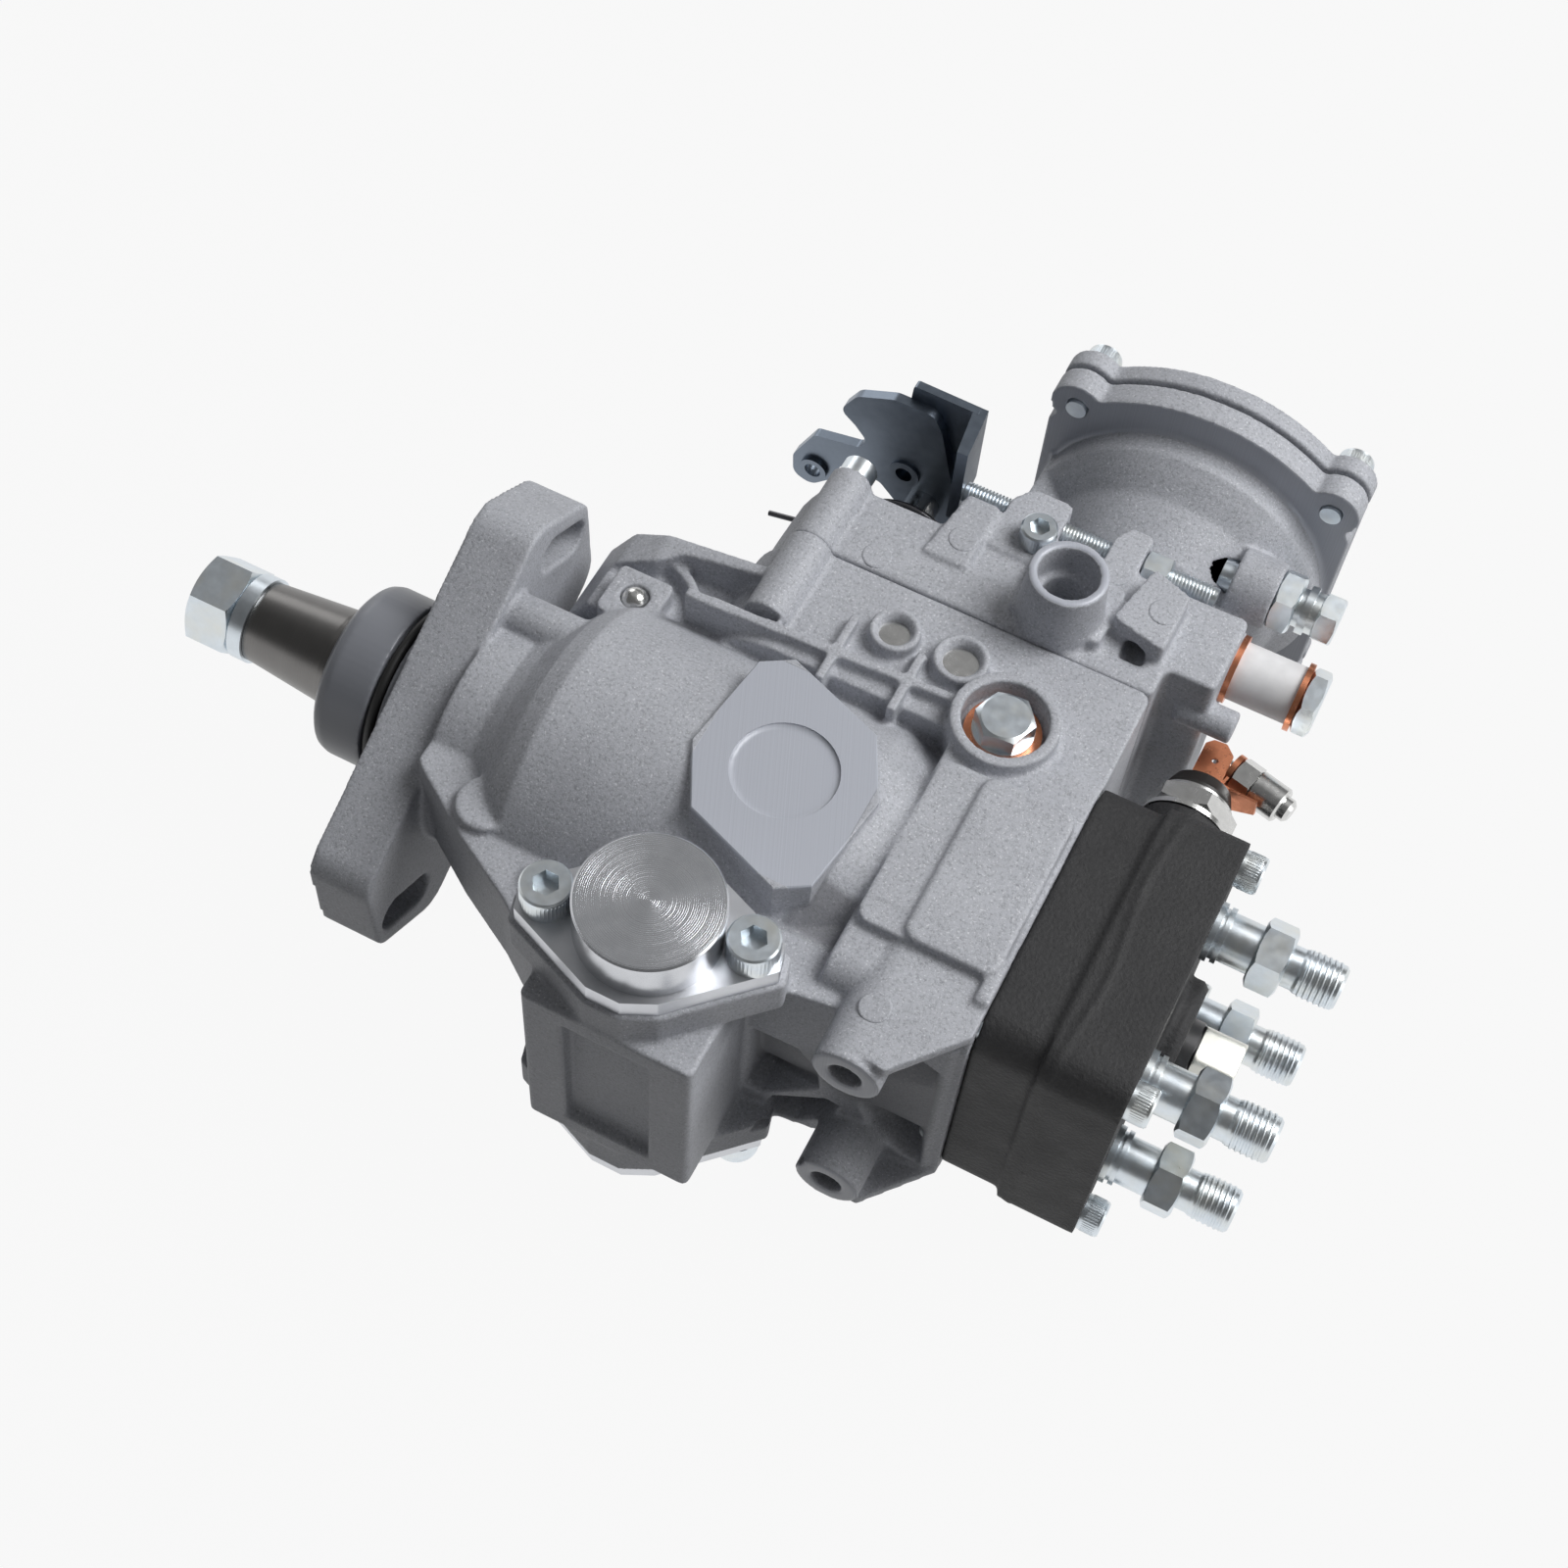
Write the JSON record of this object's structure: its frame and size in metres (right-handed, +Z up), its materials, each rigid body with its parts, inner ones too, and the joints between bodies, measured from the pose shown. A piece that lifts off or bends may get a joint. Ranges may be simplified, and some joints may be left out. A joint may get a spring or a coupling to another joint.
{
  "type": "diesel injection pump",
  "caption": "Rotary distributor pump for a diesel engine: flanged housing, governor cover with throttle lever, boost unit, stop solenoid and threaded injection outlets.",
  "frame": {"origin": "on the drive axis, in the front face of the mounting flange", "axes": "+X along the drive axis from the shaft nut towards the outlets, +Y towards the governor cover, +Z up through the side that the pump shows when it lies on its other side"},
  "size_m": [0.3242, 0.2589, 0.125],
  "materials": {
    "housing_casting": "matt sand-cast aluminium with machined faces",
    "cover_casting": "matt die-cast aluminium",
    "spun_aluminium": "turned bright aluminium",
    "head_iron": "black phosphated iron, coarse sand texture on the sides",
    "shaft_steel": "ground steel, dulled",
    "zinc_steel": "zinc-plated steel with a bluish tint",
    "lever_zinc": "zinc-plated pressed steel, dark blue-grey",
    "bright_steel": "bright turned steel",
    "dark_steel": "dark hardened steel",
    "spring_steel": "drawn spring wire",
    "copper": "soft copper, slightly worn",
    "brass": "plain brass",
    "white_plastic": "white plastic",
    "black_plastic": "black moulded plastic",
    "black_rubber": "black rubber"
  },
  "bodies": {
    "pump": {"pump_housing": "housing_casting", "governor_cover": "cover_casting", "boost_cover": "cover_casting", "boost_diaphragm": "black_rubber", "boost_spring": "spring_steel", "boost_cover_screws": "zinc_steel", "cover_screws": "zinc_steel", "timing_cover_near": "spun_aluminium", "timing_cover_far": "spun_aluminium", "timing_cover_screws": "zinc_steel", "hydraulic_head": "head_iron", "head_screws": "zinc_steel", "delivery_holders": "zinc_steel", "delivery_valves": "dark_steel", "head_plug": "dark_steel", "stop_solenoid": "bright_steel", "solenoid_insulator": "black_plastic", "terminal_blades": "copper", "terminal_nut": "bright_steel", "terminal_stud": "bright_steel", "shaft_seal": "black_rubber", "pilot_o_ring": "black_rubber", "vane_ring": "shaft_steel", "plunger_springs": "spring_steel", "timing_spring": "spring_steel", "governor_pins": "bright_steel", "return_spring": "spring_steel", "stop_screw": "zinc_steel", "stop_nut": "zinc_steel", "bush_screw": "zinc_steel", "full_load_screw": "zinc_steel", "return_bolt": "zinc_steel", "return_spacer": "white_plastic", "copper_washers": "copper", "side_plug": "zinc_steel", "blanking_plugs": "bright_steel"},
    "drive_train": {"drive_shaft": "shaft_steel", "shaft_key": "shaft_steel", "spring_washer": "spring_steel", "shaft_nut": "zinc_steel", "vane_rotor": "bright_steel", "vanes": "dark_steel", "drive_gear": "shaft_steel", "cross_coupling": "shaft_steel", "cam_plate": "dark_steel", "plunger": "bright_steel"},
    "governor_rotor": {"governor_cage": "shaft_steel", "flyweights": "dark_steel"},
    "governor_sleeve": {"governor_sleeve": "bright_steel"},
    "governor_lever": {"governor_lever": "lever_zinc"},
    "control_collar": {"control_collar": "bright_steel"},
    "timing_piston": {"timing_piston": "spun_aluminium"},
    "roller_ring": {"roller_ring": "shaft_steel", "rollers": "dark_steel", "timing_pin": "dark_steel"},
    "throttle": {"throttle_shaft": "bright_steel", "throttle_lever": "lever_zinc", "stop_bracket": "lever_zinc"},
    "boost_pin": {"boost_pin": "bright_steel"},
    "solenoid_armature": {"solenoid_armature": "dark_steel"}
  },
  "joints": [
    {"name": "drive_spin", "type": "hinge", "parent": "pump", "child": "drive_train", "pos_m": [0, 0, 0], "axis": [1, 0, 0], "continuous": true},
    {"name": "governor_spin", "type": "hinge", "parent": "pump", "child": "governor_rotor", "pos_m": [0, 0.05, 0], "axis": [1, 0, 0], "continuous": true},
    {"name": "sleeve_travel", "type": "slide", "parent": "pump", "child": "governor_sleeve", "axis": [1, 0, 0], "range_m": [0, 0.0015]},
    {"name": "lever_tilt", "type": "hinge", "parent": "pump", "child": "governor_lever", "pos_m": [0.134, 0.03, 0], "axis": [0, 0, 1], "range_deg": [-4.4, 0]},
    {"name": "collar_travel", "type": "slide", "parent": "pump", "child": "control_collar", "axis": [1, 0, 0], "range_m": [-0.00145, 0]},
    {"name": "timing_travel", "type": "slide", "parent": "pump", "child": "timing_piston", "axis": [0, 0, 1], "range_m": [-0.004, 0.004], "stiffness_N_per_m": 8000},
    {"name": "roller_ring_turn", "type": "hinge", "parent": "pump", "child": "roller_ring", "pos_m": [0, 0, 0], "axis": [1, 0, 0], "range_deg": [-4.1, 4.1]},
    {"name": "throttle_turn", "type": "hinge", "parent": "pump", "child": "throttle", "pos_m": [0.093, 0.118, 0.012], "axis": [0, -1, 0], "range_deg": [0, 40], "stiffness_Nm_per_rad": 0.3, "springref_deg": -20.05},
    {"name": "boost_travel", "type": "slide", "parent": "pump", "child": "boost_pin", "axis": [0, -1, 0], "range_m": [0, 0.004], "stiffness_N_per_m": 2000, "springref_m": -0.003},
    {"name": "armature_travel", "type": "slide", "parent": "pump", "child": "solenoid_armature", "axis": [0, 1, 0], "range_m": [0, 0.0025], "stiffness_N_per_m": 500, "springref_m": -0.002}
  ],
  "couplings": [
    {"joint": "governor_spin", "follows": "drive_spin", "ratio": -1.5},
    {"joint": "lever_tilt", "follows": "sleeve_travel", "rad_per_m": -50},
    {"joint": "collar_travel", "follows": "sleeve_travel", "ratio": -0.935},
    {"joint": "roller_ring_turn", "follows": "timing_travel", "rad_per_m": -17.544}
  ]
}
